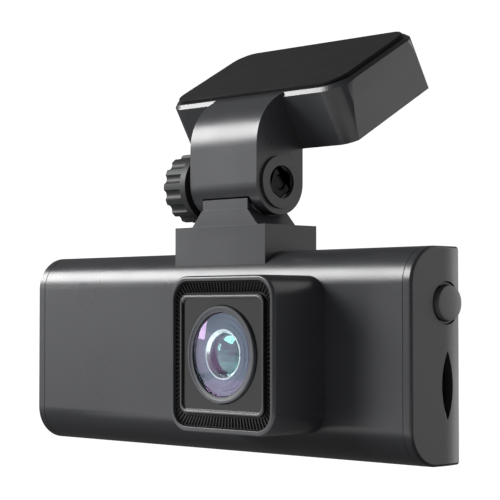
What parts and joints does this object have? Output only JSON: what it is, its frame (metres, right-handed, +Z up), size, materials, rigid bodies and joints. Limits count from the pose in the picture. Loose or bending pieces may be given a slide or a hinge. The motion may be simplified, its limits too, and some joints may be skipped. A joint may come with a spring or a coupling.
{
  "type": "dash camera",
  "caption": "Windscreen dash camera: slim body with a square lens box, rear display and keys, hanging from a thumb-screw hinge under a tilted adhesive head.",
  "frame": {"origin": "centre of the sticky face of the head's pad, where the bracket meets the windscreen", "axes": "+Z up with the camera level, -Y the way the lens looks, +X to the right seen from in front of the lens"},
  "size_m": [0.1112, 0.0524, 0.0854],
  "materials": {
    "bracket_plastic": "fine satin grain",
    "foam": "closed-cell foam, matte",
    "case_plastic": "satin, fine moulded grain",
    "black_plastic": "fine texture",
    "gloss_black": "polished",
    "ring_metal": "turned and anodised",
    "lens_glass": "coated",
    "filter_glass": "coated",
    "baffle": "turned, slate blue",
    "screen_glass": "polished",
    "panel": "smooth",
    "circuit_board": "solder mask",
    "chip": "moulded",
    "steel": "zinc plated",
    "shield_can": "tinned",
    "antenna_ceramic": "fired",
    "flex_film": "polyimide film",
    "heat_sink": "extruded",
    "thermal_pad": "soft silicone",
    "capacitor_sleeve": "shrink sleeve",
    "keys": "satin"
  },
  "bodies": {
    "bracket": {"adhesive_pad": "foam", "head_cover": "bracket_plastic", "bracket_housing": "bracket_plastic", "gps_board": "circuit_board", "gps_antenna": "antenna_ceramic", "gps_receiver": "shield_can", "head_screws": "steel", "hinge_nut": "steel"},
    "thumb_screw": {"thumb_knob": "black_plastic", "hinge_screw": "steel", "thumb_washer": "steel"},
    "camera": {"mount_foot": "bracket_plastic", "front_shell": "case_plastic", "rear_cover": "case_plastic", "right_end_cap": "case_plastic", "left_end_cap": "case_plastic", "lens_housing": "case_plastic", "lens_bezel": "black_plastic", "lens_barrel": "black_plastic", "lens_holder": "black_plastic", "power_switch": "black_plastic", "key_switches": "black_plastic", "aperture_stop": "black_plastic", "speaker": "black_plastic", "lens_face_plate": "gloss_black", "button_ring": "gloss_black", "lens_ring": "ring_metal", "inner_lens_ring": "ring_metal", "front_lens_element": "lens_glass", "second_lens_element": "lens_glass", "rear_lens_element": "lens_glass", "ir_filter": "filter_glass", "lens_baffle": "baffle", "display_glass": "screen_glass", "display_panel": "panel", "sensor_board": "circuit_board", "main_board": "circuit_board", "processor": "chip", "memory_chip": "chip", "image_sensor": "chip", "foot_screws": "steel", "shell_screws": "steel", "sensor_screws": "steel", "usb_port": "shield_can", "card_socket": "shield_can", "microphone": "shield_can", "sensor_ribbon": "flex_film", "wifi_antenna": "flex_film", "heat_sink": "heat_sink", "thermal_pad": "thermal_pad", "supercapacitors": "capacitor_sleeve"},
    "card": {"microsd_card": "chip"},
    "power_key": {"power_button": "keys"},
    "menu_key_body": {"menu_key": "keys"},
    "up_key_body": {"up_key": "keys"},
    "down_key_body": {"down_key": "keys"},
    "ok_key_body": {"ok_key": "keys"}
  },
  "joints": [
    {"name": "camera_tilt", "type": "hinge", "parent": "bracket", "child": "camera", "pos_m": [0, -0.01171, -0.02527], "axis": [1, 0, 0], "range_deg": [-30, 60]},
    {"name": "thumb_screw_turn", "type": "hinge", "parent": "bracket", "child": "thumb_screw", "pos_m": [0, -0.01171, -0.02527], "axis": [1, 0, 0], "range_deg": [0, 180]},
    {"name": "power_press", "type": "slide", "parent": "camera", "child": "power_key", "axis": [-1, 0, 0], "range_m": [0, 0.0005], "stiffness_N_per_m": 1500, "springref_m": -0.0004},
    {"name": "card_travel", "type": "slide", "parent": "camera", "child": "card", "axis": [1, 0, 0], "range_m": [-0.0003, 0.0035]},
    {"name": "menu_key_press", "type": "slide", "parent": "camera", "child": "menu_key_body", "axis": [0, -1, 0], "range_m": [0, 0.0003], "stiffness_N_per_m": 1500, "springref_m": -0.0004},
    {"name": "up_key_press", "type": "slide", "parent": "camera", "child": "up_key_body", "axis": [0, -1, 0], "range_m": [0, 0.0003], "stiffness_N_per_m": 1500, "springref_m": -0.0004},
    {"name": "down_key_press", "type": "slide", "parent": "camera", "child": "down_key_body", "axis": [0, -1, 0], "range_m": [0, 0.0003], "stiffness_N_per_m": 1500, "springref_m": -0.0004},
    {"name": "ok_key_press", "type": "slide", "parent": "camera", "child": "ok_key_body", "axis": [0, -1, 0], "range_m": [0, 0.0003], "stiffness_N_per_m": 1500, "springref_m": -0.0004}
  ]
}
